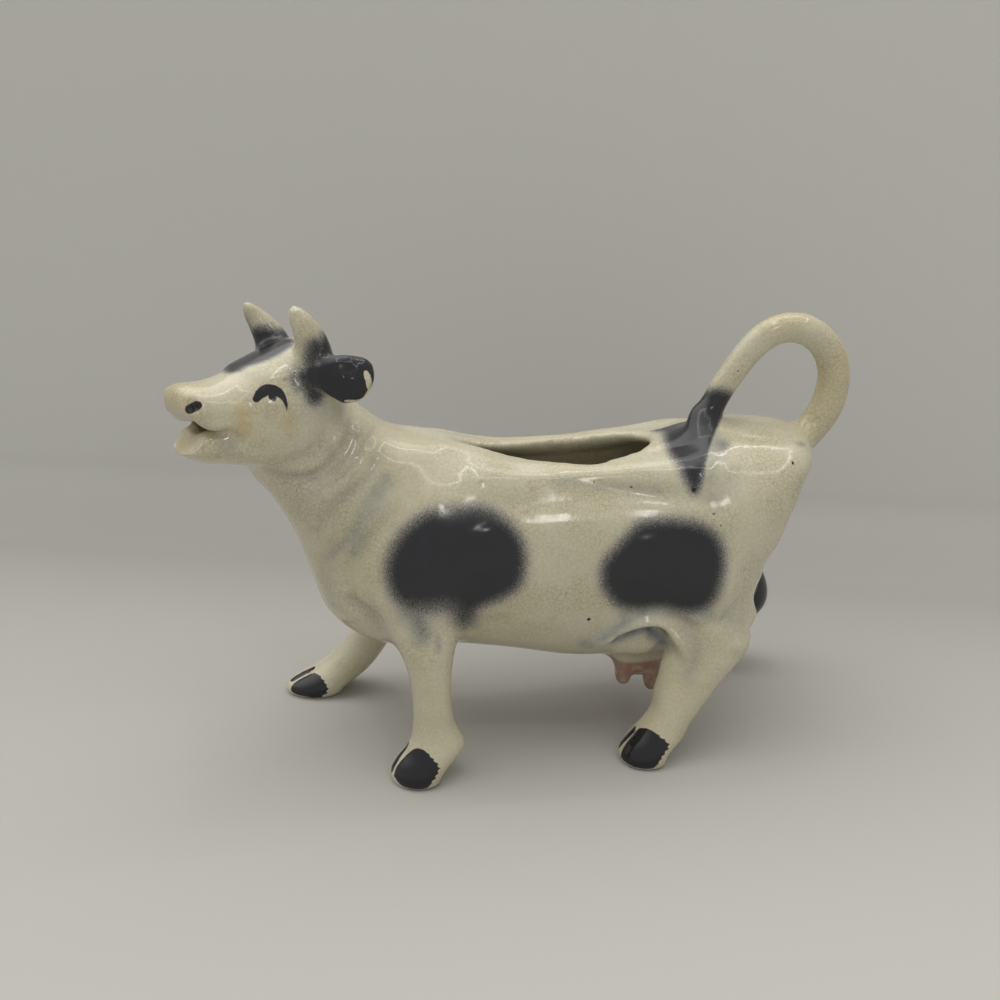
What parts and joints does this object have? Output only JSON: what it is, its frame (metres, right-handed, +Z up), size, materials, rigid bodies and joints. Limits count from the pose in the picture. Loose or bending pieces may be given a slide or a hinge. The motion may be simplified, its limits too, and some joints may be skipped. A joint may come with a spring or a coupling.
{
  "type": "cow creamer",
  "caption": "Ceramic cream jug shaped as a standing cow: filled through an oval opening in the back, poured through the open mouth, held by the looped tail.",
  "frame": {"origin": "on the table, under the middle of the length from the nose to the tail loop and of the stance", "axes": "+X from the head to the tail, +Y to the cow's right, +Z up; the cow faces -X"},
  "size_m": [0.1744, 0.0676, 0.1201],
  "materials": {
    "cream_glaze": "high gloss crackle glaze with painted black spots",
    "black_glaze": "high gloss black glaze",
    "pink_glaze": "gloss"
  },
  "bodies": {
    "root": {"body_shell": "cream_glaze", "head_shell": "cream_glaze", "left_horn": "cream_glaze", "right_horn": "cream_glaze", "left_ear": "black_glaze", "right_ear": "black_glaze", "front_left_leg": "cream_glaze", "front_right_leg": "cream_glaze", "rear_left_leg": "cream_glaze", "rear_right_leg": "cream_glaze", "tail_handle": "cream_glaze", "udder": "cream_glaze", "teats": "pink_glaze"}
  },
  "joints": []
}
